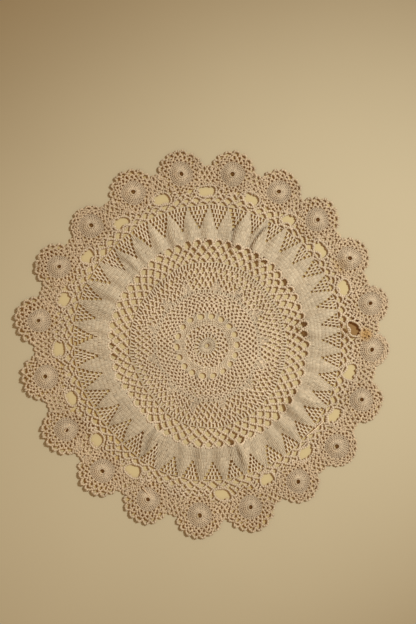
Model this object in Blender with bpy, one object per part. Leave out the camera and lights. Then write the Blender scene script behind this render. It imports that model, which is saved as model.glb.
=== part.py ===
"""A round crocheted lace doily, lying flat: one worked centre and twenty motifs sewn round it.

The cloth is about 1.6 mm thick. From the middle out it has a ring, a rosette, a ring of eyelets,
a fine net with dense patches, an open mesh, a band of dense wedges that puckers up off the table,
and a row of long loops. The motifs are round, with picots on their free side, and large gaps are
left between them and the loops.

Run it with: blender --background --python part.py
Lengths are in millimetres and angles in degrees until the points are made, which are in metres.
"""

import math
from typing import NamedTuple

import bmesh
import bpy

MM = 0.001

# Cloth
THICKNESS = 1.6
SEAM_GAP = 0.3
COTTON = (0.60, 0.50, 0.37)
COTTON_ROUGHNESS = 0.9

# Place of the worked centre, so that the origin lies under the middle of the whole cloth
CROCHET_X = 5.275
CROCHET_Y = -1.436

# Eyelets round the rosette
EYELETS = 18
EYELET_INNER = 28.0
EYELET_OUTER = 34.6
EYELET_BAR = 1.7

# Open mesh: rounds of diamonds, each round half a step on from the one inside it
MESH_INNER = 87.0
MESH_OUTER = 108.0
MESH_ROUNDS = 3
MESH_LOOPS = 48
MESH_THREAD = 1.9

# Wedge band
WEDGES = 40
WEDGE_INNER = MESH_OUTER
WEDGE_OUTER = 142.0
RUFFLE_HEIGHT = 2.4

# Long loops round the wedges
LOOPS = 80
LOOP_OUTER = 148.5
LOOP_BAR = 1.1

# Motifs
MOTIF_POINTS = 32
MOTIF_HOLE = 2.5
MOTIF_RIM = 3.6
MOTIF_DISC = 13.7
MOTIF_RIM_RISE = 0.5
MOTIF_JOINED_EDGE = 21.0
PICOT_DEPTH = 2.6
PICOT_EVERY = 2
JOIN_SPREAD = 20.0
JOINED_SIDE = 130.0
GAP_SIDE = 118.0
GAP_EDGE = 23.0
GAP_FLOOR = 23.2
GAP_FLOOR_HALF_WIDTH = 1.6
CLOSED_GAP_AFTER = 12
CLOSED_GAP_FLOOR = 14.0


class Round(NamedTuple):
    """One circle of points of the worked centre."""

    radius: float
    points: int
    rise: float


class Bulge(NamedTuple):
    """A stretch of the edge that was blocked out further, or less, than the rest."""

    direction: float
    spread: float
    pull: float


class Patch(NamedTuple):
    """A dense patch of stitches in the fine net."""

    direction: float


class Crease(NamedTuple):
    """A radial fold in the wedge band."""

    direction: float
    half_width: float


class Motif(NamedTuple):
    """A border motif, placed from the middle of the worked centre."""

    direction: float
    distance: float
    reach: float


ROSETTE = (
    Round(radius=2.6, points=9, rise=0.2),
    Round(radius=4.4, points=9, rise=0.5),
    Round(radius=8.0, points=18, rise=0.1),
    Round(radius=22.0, points=18, rise=0.0),
    Round(radius=25.0, points=36, rise=0.5),
)
FINE_NET = (
    Round(radius=51.0, points=52, rise=0.0),
    Round(radius=56.5, points=52, rise=0.6),
    Round(radius=62.0, points=52, rise=0.0),
    Round(radius=82.0, points=48, rise=0.0),
)
WEDGE_ROUNDS = (
    Round(radius=112.0, points=120, rise=0.3),
    Round(radius=121.0, points=120, rise=0.8),
    Round(radius=131.0, points=120, rise=0.8),
)
PATCHES = tuple(
    Patch(direction)
    for direction in (5, 32, 59, 81, 110, 134, 162, 193, 230, 258, 285, 316, 341)
)
PATCH_HALF_WIDTH = 6.0

# The cloth is longer than it is wide, and pulled in at the lower left and the upper left.
FULL_PULL_RADIUS = 80.0
NO_PULL_RADIUS = 30.0
OVAL = 2.1
LIFT = 3.4
BULGES = (
    Bulge(direction=221, spread=24, pull=-5.2),
    Bulge(direction=133, spread=19, pull=-2.7),
)
CREASES = (
    Crease(direction=65, half_width=2.5),
    Crease(direction=77, half_width=3.0),
    Crease(direction=134, half_width=3.0),
    Crease(direction=238, half_width=3.0),
    Crease(direction=285, half_width=2.5),
)
MOTIFS = (
    Motif(direction=98.6, distance=182.8, reach=25.0),
    Motif(direction=81.5, distance=181.9, reach=25.5),
    Motif(direction=65.0, distance=177.9, reach=24.5),
    Motif(direction=49.0, distance=175.5, reach=24.5),
    Motif(direction=31.7, distance=175.1, reach=22.0),
    Motif(direction=14.5, distance=176.7, reach=20.0),
    Motif(direction=-1.2, distance=172.6, reach=18.5),
    Motif(direction=-19.3, distance=171.5, reach=23.5),
    Motif(direction=-37.7, distance=172.2, reach=21.5),
    Motif(direction=-56.1, distance=171.0, reach=23.0),
    Motif(direction=-75.0, distance=175.0, reach=26.5),
    Motif(direction=-92.6, distance=177.3, reach=25.5),
    Motif(direction=-111.1, distance=172.0, reach=26.5),
    Motif(direction=-129.9, distance=170.7, reach=26.5),
    Motif(direction=-149.3, distance=171.5, reach=26.5),
    Motif(direction=-169.1, distance=171.8, reach=26.5),
    Motif(direction=-188.6, distance=177.9, reach=26.0),
    Motif(direction=-208.1, distance=176.3, reach=25.0),
    Motif(direction=-226.0, distance=175.0, reach=21.5),
    Motif(direction=-244.3, distance=178.2, reach=25.5),
)


def turned(angle):
    """The angle in degrees, brought to between -180 and 180."""
    return (angle + 180.0) % 360.0 - 180.0


def eased(value, low, high):
    """0 below low, 1 above high, and a smooth step between."""
    share = min(max((value - low) / (high - low), 0.0), 1.0)
    return share * share * (3.0 - 2.0 * share)


def blocked(radius, angle):
    """The radius to which a round that was worked as a true circle is pulled in this direction."""
    pull = -OVAL * math.cos(math.radians(2.0 * angle))
    for bulge in BULGES:
        off = turned(angle - bulge.direction) / bulge.spread
        pull += bulge.pull * math.exp(-off * off)
    pull += LIFT * (radius / WEDGE_OUTER) ** 2 * math.sin(math.radians(angle))
    return radius + eased(radius, NO_PULL_RADIUS, FULL_PULL_RADIUS) * pull


def place(radius, angle):
    """X and Y of a point given from the middle of the worked centre."""
    turn = math.radians(angle)
    return CROCHET_X + radius * math.cos(turn), CROCHET_Y + radius * math.sin(turn)


def ruffle(radius, angle):
    """How far the wedge band stands off the table: one pucker a wedge, flat at the creases."""
    along = (radius - WEDGE_INNER) / (WEDGE_OUTER - WEDGE_INNER)
    if not 0.0 < along < 1.0:
        return 0.0
    rise = math.sin(math.pi * along) ** 1.5
    turn = math.radians(angle)
    uneven = 0.6 + 0.25 * math.sin(7.0 * turn + 0.8) + 0.15 * math.sin(17.0 * turn)
    pucker = 0.5 + 0.5 * math.cos(turn * WEDGES)
    for crease in CREASES:
        off = turned(angle - crease.direction) / crease.half_width
        pucker *= 1.0 - 0.9 * math.exp(-off * off)
    return RUFFLE_HEIGHT * rise * uneven * pucker


def patch_share(angle):
    """1 on the middle of a dense patch and 0 away from it."""
    return max(
        max(0.0, 1.0 - abs(turned(angle - patch.direction)) / PATCH_HALF_WIDTH)
        for patch in PATCHES
    )


class Cloth:
    """A flat sheet of faces, which is closed by giving it its thickness."""

    def __init__(self):
        self.mesh = bmesh.new()
        self.rise = self.mesh.verts.layers.float.new("rise")

    def point(self, x, y, z=0.0, rise=0.0):
        """A point of the underside, and how far the top above it exceeds the thickness."""
        vert = self.mesh.verts.new((x * MM, y * MM, z * MM))
        vert[self.rise] = rise
        return vert

    def ring(self, radius, points, rise=0.0, phase=0.0):
        """A pulled round of evenly spaced points: pairs of angle and point."""
        ring = []
        for index in range(points):
            angle = (index + phase) * 360.0 / points
            reach = blocked(radius, angle)
            point = self.point(*place(reach, angle), ruffle(radius, angle), rise)
            ring.append((angle, point))
        return ring

    def fill(self, inner, outer):
        """Faces between two rings of any number of points, each a list of angle and point."""
        inner = sorted(inner, key=lambda pair: pair[0] % 360.0)
        outer = sorted(outer, key=lambda pair: pair[0] % 360.0)
        at, over = 0, 0
        while at < len(inner) or over < len(outer):
            next_inner = self.angle_after(inner, at)
            next_outer = self.angle_after(outer, over)
            here = inner[at % len(inner)][1]
            there = outer[over % len(outer)][1]
            if next_inner <= next_outer:
                self.mesh.faces.new((here, there, inner[(at + 1) % len(inner)][1]))
                at += 1
            else:
                self.mesh.faces.new((here, there, outer[(over + 1) % len(outer)][1]))
                over += 1

    @staticmethod
    def angle_after(ring, index):
        """The angle of the step from one point of a ring to the next, past 360 once round."""
        if index >= len(ring):
            return math.inf
        start = ring[index][0] % 360.0
        end = ring[(index + 1) % len(ring)][0] % 360.0
        if index + 1 == len(ring):
            end += 360.0
        return (start + end) / 2.0

    def pierced(self, corners, bar):
        """Faces round a hole that keeps the shape of its cell, with half a bar on every side."""
        middle_x = sum(corner.co.x for corner in corners) / len(corners)
        middle_y = sum(corner.co.y for corner in corners) / len(corners)
        inner = []
        for corner in corners:
            off_x = corner.co.x - middle_x
            off_y = corner.co.y - middle_y
            share = max(1.0 - bar * MM / math.hypot(off_x, off_y), 0.1)
            inner.append(
                self.point(
                    (middle_x + off_x * share) / MM,
                    (middle_y + off_y * share) / MM,
                    corner.co.z / MM,
                    corner[self.rise],
                )
            )
        for index, corner in enumerate(corners):
            after = (index + 1) % len(corners)
            self.mesh.faces.new((corner, corners[after], inner[after], inner[index]))

    def finish(self, name, colour_shift=0.0):
        """Close the sheet with its top and walls, and make it an object of its own."""
        top = bmesh.ops.extrude_face_region(self.mesh, geom=list(self.mesh.faces))
        for item in top["geom"]:
            if isinstance(item, bmesh.types.BMVert):
                item.co.z += (THICKNESS + item[self.rise]) * MM
        bmesh.ops.recalc_face_normals(self.mesh, faces=list(self.mesh.faces))
        mesh = bpy.data.meshes.new(name)
        self.mesh.to_mesh(mesh)
        self.mesh.free()
        mesh.materials.append(cotton(name + "_cotton", colour_shift))
        made = bpy.data.objects.new(name, mesh)
        bpy.context.scene.collection.objects.link(made)
        return made


def cotton(name, shift):
    """Unbleached cotton, a little lighter or darker by the shift."""
    material = bpy.data.materials.new(name)
    material.use_nodes = True
    shader = material.node_tree.nodes["Principled BSDF"]
    tint = [channel * (1.0 + shift) for channel in COTTON]
    shader.inputs["Base Color"].default_value = (*tint, 1.0)
    shader.inputs["Roughness"].default_value = COTTON_ROUGHNESS
    shader.inputs["Metallic"].default_value = 0.0
    return material


def eyelet_round(cloth, inside):
    """The ring of eyelets round the rosette, from its inner ring out. It returns its outer ring."""
    outside = cloth.ring(EYELET_OUTER, 2 * EYELETS)
    count = len(inside)
    for index in range(0, count, 2):
        near = [inside[(index + step) % count][1] for step in range(3)]
        far = [outside[(index + step) % count][1] for step in range(3)]
        cloth.pierced([*near, *reversed(far)], EYELET_BAR)
    return outside


def open_mesh(cloth, inside):
    """The rounds of diamonds. It returns the outer ring of points."""
    depth = (MESH_OUTER - MESH_INNER) / (MESH_ROUNDS + 1)
    rings = [
        cloth.ring(MESH_INNER + depth * step, MESH_LOOPS, phase=(step % 2) / 2.0)
        for step in range(MESH_ROUNDS + 2)
    ]
    cloth.fill(inside, rings[0])
    for step in range(1, MESH_ROUNDS + 1):
        below, level, above = rings[step - 1 : step + 2]
        for index in range(MESH_LOOPS):
            left = (index - step % 2) % MESH_LOOPS
            right = (left + 1) % MESH_LOOPS
            corners = (below[index], level[right], above[index], level[left])
            cloth.pierced([pair[1] for pair in corners], MESH_THREAD)
    for index in range(MESH_LOOPS):
        after = (index + 1) % MESH_LOOPS
        low = (rings[0][index][1], rings[0][after][1], rings[1][index][1])
        cloth.mesh.faces.new(low)
        tip = rings[MESH_ROUNDS][index if MESH_ROUNDS % 2 else after][1]
        cloth.mesh.faces.new((rings[-1][index][1], tip, rings[-1][after][1]))
    return rings[-1]


def loop_round(cloth, inside):
    """The row of long loops round the wedges. It returns its outer ring."""
    outside = cloth.ring(LOOP_OUTER, LOOPS)
    for index in range(LOOPS):
        after = (index + 1) % LOOPS
        corners = (inside[index], inside[after], outside[after], outside[index])
        cloth.pierced([pair[1] for pair in corners], LOOP_BAR)
    return outside


def neighbours(index):
    """The motifs before and after one, each with the side on which it lies: +1 or -1."""
    before = MOTIFS[index - 1]
    after = MOTIFS[(index + 1) % len(MOTIFS)]
    return ((before, 1.0), (after, -1.0))


def half_way(motif, other):
    """Distance from a motif to the line that parts it from another, and that line's direction."""
    turn, other_turn = math.radians(motif.direction), math.radians(other.direction)
    off_x = other.distance * math.cos(other_turn) - motif.distance * math.cos(turn)
    off_y = other.distance * math.sin(other_turn) - motif.distance * math.sin(turn)
    apart = math.hypot(off_x, off_y)
    return apart / 2.0, math.degrees(math.atan2(off_y, off_x))


def motif_edge(index, off):
    """The radius of a motif's edge, off degrees round from the direction that points outwards."""
    motif = MOTIFS[index]
    step = round(off * MOTIF_POINTS / 360.0)
    side = abs(turned(off))
    if side > JOINED_SIDE:
        edge = MOTIF_JOINED_EDGE
    elif side > GAP_SIDE:
        edge = GAP_EDGE
    else:
        edge = motif.reach - PICOT_DEPTH * (step % PICOT_EVERY)
    for other, _ in neighbours(index):
        apart, toward = half_way(motif, other)
        slant = abs(turned(motif.direction + off - toward))
        if slant > 60.0:
            continue
        parting = (apart - SEAM_GAP / 2.0) / math.cos(math.radians(slant))
        edge = parting if slant < JOIN_SPREAD else min(edge, parting)
    return edge


def around(motif, radius, direction):
    """X and Y of a point given from the middle of a motif."""
    x, y = place(motif.distance, motif.direction)
    turn = math.radians(direction)
    return x + radius * math.cos(turn), y + radius * math.sin(turn)


def border_edge(cloth):
    """The outer edge of the worked centre: it follows each motif, and drops at each gap."""
    edge = []
    for index, motif in enumerate(MOTIFS):
        for step in range(MOTIF_POINTS):
            off = turned(step * 360.0 / MOTIF_POINTS)
            if abs(off) <= JOINED_SIDE and off != -180.0:
                continue
            radius = MOTIF_JOINED_EDGE + SEAM_GAP
            edge.append(around(motif, radius, motif.direction + off))
        after, _ = neighbours(index)[1]
        middle = motif.direction + turned(after.direction - motif.direction) / 2.0
        closed = index + 1 == CLOSED_GAP_AFTER
        floor = CLOSED_GAP_FLOOR if closed else GAP_FLOOR
        reach = (motif.distance + after.distance) / 2.0 - floor
        for off in (-GAP_FLOOR_HALF_WIDTH, GAP_FLOOR_HALF_WIDTH):
            edge.append(place(reach, middle + off))
    ring = []
    for x, y in edge:
        angle = math.degrees(math.atan2(y - CROCHET_Y, x - CROCHET_X))
        ring.append((angle, cloth.point(x, y)))
    return ring


def worked_centre():
    """The whole of the crochet inside the motifs, as one cloth."""
    cloth = Cloth()
    ring = cloth.ring(*ROSETTE[0])
    for turn in ROSETTE[1:]:
        wider = cloth.ring(*turn)
        cloth.fill(ring, wider)
        ring = wider
    wider = cloth.ring(EYELET_INNER, 2 * EYELETS)
    cloth.fill(ring, wider)
    ring = eyelet_round(cloth, wider)
    for turn in FINE_NET:
        wider = cloth.ring(turn.radius, turn.points)
        for angle, point in wider:
            point[cloth.rise] = turn.rise * patch_share(angle)
        cloth.fill(ring, wider)
        ring = wider
    ring = open_mesh(cloth, ring)
    for turn in WEDGE_ROUNDS:
        wider = cloth.ring(turn.radius, turn.points)
        for angle, point in wider:
            point[cloth.rise] = turn.rise * (0.5 + 0.5 * math.cos(math.radians(angle * WEDGES)))
        cloth.fill(ring, wider)
        ring = wider
    wider = cloth.ring(WEDGE_OUTER, LOOPS)
    cloth.fill(ring, wider)
    ring = loop_round(cloth, wider)
    cloth.fill(ring, border_edge(cloth))
    return cloth.finish("worked_centre")


def border_motif(index):
    """One motif: a hole, a raised rim, a domed disc and a netted edge with picots."""
    motif = MOTIFS[index]
    cloth = Cloth()
    rings = []
    for radius, points, rise in (
        (MOTIF_HOLE, 8, 0.1),
        (MOTIF_RIM, 8, MOTIF_RIM_RISE),
        (MOTIF_DISC, 16, 0.2),
    ):
        ring = []
        for step in range(points):
            angle = motif.direction + step * 360.0 / points
            ring.append((angle, cloth.point(*around(motif, radius, angle), 0.0, rise)))
        rings.append(ring)
    edge = []
    for step in range(MOTIF_POINTS):
        off = step * 360.0 / MOTIF_POINTS
        angle = motif.direction + off
        radius = motif_edge(index, off)
        edge.append((angle, cloth.point(*around(motif, radius, angle))))
    rings.append(edge)
    for inner, outer in zip(rings, rings[1:]):
        cloth.fill(inner, outer)
    shift = 0.04 * math.sin(index * 2.3)
    return cloth.finish(f"border_motif_{index + 1:02d}", shift)


def clear_scene():
    """Remove what the scene holds at the start."""
    for existing in list(bpy.data.objects):
        bpy.data.objects.remove(existing, do_unlink=True)


def main():
    """Build the whole doily."""
    clear_scene()
    worked_centre()
    for index in range(len(MOTIFS)):
        border_motif(index)


main()
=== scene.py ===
"""Looks of a round crocheted lace doily: every stitch of cotton, worked round by round.

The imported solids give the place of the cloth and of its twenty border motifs. On them this script
works the real crochet: posts, chain ridges and chain loops, each a small mesh shaped once and laid
down in joined meshes. Lengths are in millimetres until the points are made, which are in metres.
"""

import logging
import math
from dataclasses import dataclass, field, replace
from enum import Enum

import bmesh
import bpy
import numpy as np
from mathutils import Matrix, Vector

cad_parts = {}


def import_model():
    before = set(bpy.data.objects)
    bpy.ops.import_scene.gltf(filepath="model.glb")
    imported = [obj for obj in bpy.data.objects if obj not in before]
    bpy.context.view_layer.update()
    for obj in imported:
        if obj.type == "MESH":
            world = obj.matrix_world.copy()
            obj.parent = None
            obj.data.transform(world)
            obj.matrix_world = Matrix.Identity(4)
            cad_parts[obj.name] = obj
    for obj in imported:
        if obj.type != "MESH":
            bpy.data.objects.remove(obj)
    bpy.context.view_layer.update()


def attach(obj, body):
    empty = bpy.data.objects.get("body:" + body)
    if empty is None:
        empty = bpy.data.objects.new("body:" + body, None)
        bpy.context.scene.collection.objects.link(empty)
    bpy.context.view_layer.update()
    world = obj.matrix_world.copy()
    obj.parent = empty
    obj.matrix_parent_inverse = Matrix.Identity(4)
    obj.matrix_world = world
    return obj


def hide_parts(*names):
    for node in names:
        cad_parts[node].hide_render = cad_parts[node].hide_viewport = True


LOG = logging.getLogger("doily")
MM = 0.001
LOOP_POINTS = 11
LEAST_LINKS = 10
FULL_TURN = 360.0
BODY = "root"
CENTRE_NODE = "worked_centre"


# ---------------------------------------------------------------------------------------------
# Small helpers
# ---------------------------------------------------------------------------------------------


def turned(angle: np.ndarray | float) -> np.ndarray | float:
    """Bring an angle in degrees to between -180 and 180."""
    return (angle + 180.0) % FULL_TURN - 180.0


def eased(value: np.ndarray | float, low: float, high: float) -> np.ndarray:
    """Give 0 below low, 1 above high, and a smooth step between."""
    share = np.clip((np.asarray(value, float) - low) / (high - low), 0.0, 1.0)
    return share * share * (3.0 - 2.0 * share)


def bell(angle: np.ndarray | float, direction: float, spread: float) -> np.ndarray:
    """Give a bell curve over the angle in degrees, 1 at the direction."""
    off = turned(np.asarray(angle, float) - direction) / spread
    return np.exp(-off * off)


def arched(share: np.ndarray, power: float) -> np.ndarray:
    """Give 0 at both ends of a share and 1 half way, flatter on top for a higher power."""
    return 1.0 - np.abs(2.0 * share - 1.0) ** power


def spaced(radius: float, length: float) -> np.ndarray:
    """Give the directions in degrees of stitches of about some length round a circle."""
    count = max(int(round(math.tau * radius / length)), LEAST_LINKS)
    return np.arange(count) * FULL_TURN / count


def deselect_all() -> None:
    """Deselect every object, and leave edit mode if it is on."""
    if bpy.context.object is not None and bpy.context.object.mode != "OBJECT":
        bpy.ops.object.mode_set(mode="OBJECT")
    bpy.ops.object.select_all(action="DESELECT")


# ---------------------------------------------------------------------------------------------
# Stitches, each shaped once
# ---------------------------------------------------------------------------------------------


class StitchKind(Enum):
    """The stitches that the doily is made of."""

    POST = "post"
    LINK = "link"
    CHAIN = "chain"
    BAR = "bar"


@dataclass(frozen=True)
class Section:
    """One cross-section of a stitch.

    The stitch runs along Y from 0 to 1, and its width and thickness are shares of its own.
    """

    along: float
    width: float
    thickness: float
    twist: float = 0.0
    aside: float = 0.0


@dataclass(frozen=True)
class Stitch:
    """The shape of one stitch, as plain arrays."""

    points: np.ndarray
    faces: np.ndarray
    uv: np.ndarray


@dataclass
class StitchMould:
    """Shapes one stitch by hand from a flat ring of points, section by section."""

    kind: StitchKind
    sides: int
    sections: tuple[Section, ...]
    groove: float = 0.0

    def cast(self) -> Stitch:
        """Model the stitch and return its arrays.

        Returns:
            The points, triangles and UVs of the stitch.
        """
        deselect_all()
        first = self.sections[0]
        bpy.ops.mesh.primitive_circle_add(
            vertices=self.sides,
            radius=0.5,
            fill_type="NGON",
            location=(0.0, first.along, 0.0),
            rotation=(math.radians(90.0), 0.0, 0.0),
        )
        made = bpy.context.object
        made.name = f"mould_{self.kind.value}"
        bpy.ops.object.transform_apply(location=True, rotation=True, scale=True)
        bpy.ops.object.mode_set(mode="EDIT")
        self.cut_groove()
        bpy.ops.mesh.select_all(action="SELECT")
        self.size(first, Section(first.along, 1.0, 1.0))
        for before, after in zip(self.sections, self.sections[1:]):
            step = (after.aside - before.aside, after.along - before.along, 0.0)
            bpy.ops.mesh.extrude_region_move(TRANSFORM_OT_translate={"value": step})
            self.size(after, before)
        bpy.ops.mesh.select_all(action="SELECT")
        bpy.ops.mesh.quads_convert_to_tris()
        bpy.ops.mesh.normals_make_consistent(inside=False)
        bpy.ops.object.mode_set(mode="OBJECT")
        stitch = self.arrays(made)
        bpy.data.objects.remove(made, do_unlink=True)
        return stitch

    def cut_groove(self) -> None:
        """Push down the top of the first section, between the two legs of a chain stitch."""
        if not self.groove:
            return
        mesh = bpy.context.object.data
        bpy.ops.mesh.select_mode(type="VERT")
        bpy.ops.mesh.select_all(action="DESELECT")
        edit = bmesh.from_edit_mesh(mesh)
        top = max(edit.verts, key=lambda vert: vert.co.z)
        top.select_set(True)
        bmesh.update_edit_mesh(mesh)
        bpy.ops.transform.translate(value=(0.0, 0.0, -self.groove))

    def size(self, to: Section, was: Section) -> None:
        """Resize and twist the selected section.

        Args:
            to: The section that it becomes.
            was: The section whose size it has.
        """
        pivot = (to.aside, to.along, 0.0)
        bpy.ops.transform.resize(
            value=(to.width / was.width, 1.0, to.thickness / was.thickness),
            center_override=pivot,
        )
        if to.twist:
            bpy.ops.transform.rotate(
                value=math.radians(to.twist), orient_axis="Y", center_override=pivot
            )

    @staticmethod
    def arrays(made: bpy.types.Object) -> Stitch:
        """Read the mesh of a modelled stitch.

        Args:
            made: The object that holds it.

        Returns:
            Its arrays. U runs along the yarn and V runs round it.
        """
        mesh = made.data
        points = np.array([vert.co for vert in mesh.vertices], float)
        faces = np.array([list(face.vertices) for face in mesh.polygons], int)
        corners = points[faces]
        turn = np.arctan2(corners[..., 2], corners[..., 0]) / math.tau + 0.5
        wide = turn.max(axis=1, keepdims=True) - turn > 0.5
        turn = np.where(wide, turn + 1.0, turn)
        return Stitch(points, faces, np.stack([corners[..., 1], turn], axis=-1))


POST_SECTIONS = (
    Section(along=-0.08, width=0.8, thickness=0.72),
    Section(along=0.2, width=1.0, thickness=0.95, twist=12.0, aside=-0.03),
    Section(along=0.66, width=0.96, thickness=1.0, twist=16.0, aside=0.03),
    Section(along=1.08, width=0.8, thickness=0.7, twist=12.0),
)
BAR_SECTIONS = (
    Section(along=-0.12, width=1.35, thickness=0.6),
    Section(along=0.24, width=0.92, thickness=1.0, aside=-0.04),
    Section(along=0.74, width=0.88, thickness=1.0, aside=0.04),
    Section(along=1.12, width=1.35, thickness=0.6),
)
CHAIN_SECTIONS = (
    Section(along=-0.12, width=0.56, thickness=0.6),
    Section(along=0.42, width=1.0, thickness=1.0),
    Section(along=1.06, width=0.62, thickness=0.62),
)
LINK_SECTIONS = (
    Section(along=-0.16, width=0.45, thickness=0.5, aside=0.1),
    Section(along=0.42, width=1.0, thickness=1.0, twist=24.0),
    Section(along=1.12, width=0.52, thickness=0.52, twist=22.0, aside=-0.1),
)
STITCH_MOULDS = (
    StitchMould(StitchKind.POST, sides=5, sections=POST_SECTIONS),
    StitchMould(StitchKind.LINK, sides=5, sections=LINK_SECTIONS),
    StitchMould(StitchKind.CHAIN, sides=6, sections=CHAIN_SECTIONS, groove=0.3),
    StitchMould(StitchKind.BAR, sides=5, sections=BAR_SECTIONS),
)
CLOSE_KINDS = (StitchKind.POST, StitchKind.LINK)
CLOSE_TONE_SPREAD = 0.9
TONE_SPREAD = 0.5
WIDTH_SPREAD = 0.07


class Work:
    """A stretch of crochet that is laid down stitch by stitch and then joined into one mesh."""

    def __init__(self, moulds: dict[StitchKind, Stitch], seed: int) -> None:
        """Start an empty stretch.

        Args:
            moulds: The shape of each kind of stitch.
            seed: The seed of its unevenness.
        """
        self.moulds = moulds
        self.random = np.random.default_rng(seed)
        self.points: list[np.ndarray] = []
        self.faces: list[np.ndarray] = []
        self.uv: list[np.ndarray] = []
        self.tone: list[np.ndarray] = []
        self.deep: list[np.ndarray] = []
        self.close: list[np.ndarray] = []
        self.count = 0

    def lay(
        self,
        kind: StitchKind,
        starts: np.ndarray,
        ends: np.ndarray,
        width: np.ndarray | float,
        thickness: float,
        tone: np.ndarray | float = 0.0,
    ) -> None:
        """Lay one stitch from each start to its end.

        Args:
            kind: The kind of stitch.
            starts: Points in millimetres, one row each.
            ends: Points in millimetres, one row each.
            width: Width across the stitch, in the plane of the cloth.
            thickness: Height of the stitch.
            tone: How much lighter the yarn is than the rest.
        """
        if not len(starts):
            return
        mould = self.moulds[kind]
        run = ends - starts
        length = np.linalg.norm(run, axis=1, keepdims=True)
        ahead = run / np.maximum(length, 1e-6)
        across = np.cross(ahead, (0.0, 0.0, 1.0))
        across /= np.maximum(np.linalg.norm(across, axis=1, keepdims=True), 1e-6)
        above = np.cross(across, ahead)
        uneven = 1.0 + WIDTH_SPREAD * self.random.standard_normal((len(starts), 1))
        wide = across * (np.broadcast_to(width, len(starts))[:, None] * uneven)
        thick = above * thickness
        shape = mould.points
        placed = (
            starts[:, None, :]
            + shape[None, :, 0, None] * wide[:, None, :]
            + shape[None, :, 1, None] * run[:, None, :]
            + shape[None, :, 2, None] * thick[:, None, :]
        )
        each = len(shape)
        offset = self.count + np.arange(len(starts)) * each
        self.faces.append((mould.faces[None] + offset[:, None, None]).reshape(-1, 3))
        self.points.append(placed.reshape(-1, 3))
        shift = self.random.random((len(starts), 1, 1, 2))
        self.uv.append((mould.uv[None] + shift).reshape(-1, 2))
        close = kind in CLOSE_KINDS
        spread = CLOSE_TONE_SPREAD if close else TONE_SPREAD
        shade = tone + spread * self.random.standard_normal(len(starts))
        self.tone.append(np.repeat(shade, each))
        self.close.append(np.full(each * len(starts), float(close)))
        # Height within the stitch, 0 below and 1 on top, which the cotton finish reads for its
        # painted shade.
        self.deep.append(np.tile(shape[:, 2] + 0.5, len(starts)))
        self.count += each * len(starts)

    def ring(
        self, line: np.ndarray, width: float, thickness: float, tone: np.ndarray | float
    ) -> None:
        """Lay a closed row of links through some points in millimetres."""
        self.lay(StitchKind.LINK, line, np.roll(line, -1, axis=0), width, thickness, tone)

    def chain(
        self,
        line: np.ndarray,
        stitch_length: float,
        width: float,
        thickness: float,
        closed: bool = False,
        tone: float = 0.0,
    ) -> None:
        """Lay a chain of links along a line.

        Args:
            line: Points in millimetres that the chain follows.
            stitch_length: About how long a link is.
            width: Width of the chain.
            thickness: Height of the chain.
            closed: Whether the line comes back to its start.
            tone: How much lighter the yarn is than the rest.
        """
        path = np.vstack([line, line[:1]]) if closed else line
        steps = np.linalg.norm(np.diff(path, axis=0), axis=1)
        run = np.concatenate([[0.0], np.cumsum(steps)])
        links = max(int(round(run[-1] / stitch_length)), 1)
        at = np.linspace(0.0, run[-1], links + 1)
        knots = np.stack([np.interp(at, run, path[:, axis]) for axis in range(3)], axis=1)
        self.lay(StitchKind.CHAIN, knots[:-1], knots[1:], width, thickness, tone)

    def join(self, name: str) -> bpy.types.Object:
        """Join everything laid so far into one mesh object.

        Args:
            name: The name of the piece.

        Returns:
            The new object, with its place in its mesh.
        """
        points = np.concatenate(self.points) * MM
        faces = np.concatenate(self.faces).astype(np.int32)
        mesh = bpy.data.meshes.new(name)
        mesh.vertices.add(len(points))
        mesh.vertices.foreach_set("co", points.astype(np.float32).ravel())
        mesh.loops.add(faces.size)
        mesh.loops.foreach_set("vertex_index", faces.ravel())
        mesh.polygons.add(len(faces))
        mesh.polygons.foreach_set("loop_start", np.arange(0, faces.size, 3, dtype=np.int32))
        mesh.polygons.foreach_set("use_smooth", np.ones(len(faces), bool))
        layer = mesh.uv_layers.new(name="yarn")
        layer.data.foreach_set("uv", np.concatenate(self.uv).astype(np.float32).ravel())
        marks = {"tone": self.tone, "deep": self.deep, "close": self.close}
        for label, values in marks.items():
            attribute = mesh.attributes.new(label, "FLOAT", "POINT")
            attribute.data.foreach_set("value", np.concatenate(values).astype(np.float32))
        mesh.update()
        mesh.validate()
        made = bpy.data.objects.new(name, mesh)
        bpy.context.scene.collection.objects.link(made)
        LOG.info("%s: %d triangles", name, len(faces))
        return made


# ---------------------------------------------------------------------------------------------
# How the cloth lies
# ---------------------------------------------------------------------------------------------


BAND_INNER = 108.0
BAND_MIDDLE = 125.0
BAND_OUTER = 142.0
WEDGES = 40


@dataclass(frozen=True)
class Wave:
    """One of the waves that go round a circle."""

    size: float
    count: float
    phase: float = 0.0


@dataclass(frozen=True)
class Waver:
    """How places are shifted along one axis: the bend, and lengths in millimetres."""

    bend: float
    along: float
    bend_length: float
    across: float
    slant: float


@dataclass(frozen=True)
class Crease:
    """A fold across the wedge band, leaning by some degrees from its inner to its outer end."""

    direction: float
    half_width: float
    lean: float = 0.0
    depth: float = 1.0

    def near(self, radius: np.ndarray, lain: np.ndarray, widen: float = 1.0) -> np.ndarray:
        """Give 1 in the fold, falling to 0 beside it.

        Args:
            radius: Radius of the place.
            lain: Direction in which the place lies, in degrees.
            widen: How many times its width is read.

        Returns:
            The share.
        """
        share = (radius - BAND_MIDDLE) / (BAND_OUTER - BAND_INNER)
        off = turned(lain - self.direction - self.lean * share)
        return np.exp(-((off / (widen * self.half_width)) ** 2))


@dataclass(frozen=True)
class Rise:
    """A place where the cloth stands off the table."""

    direction: float
    radius: float
    height: float
    spread: float


@dataclass(frozen=True)
class Slack:
    """A stretch of all rounds, or of those near a radius, that was pulled out less."""

    direction: float
    spread: float
    pull: float
    radius: float = 0.0
    depth: float = math.inf


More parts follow.
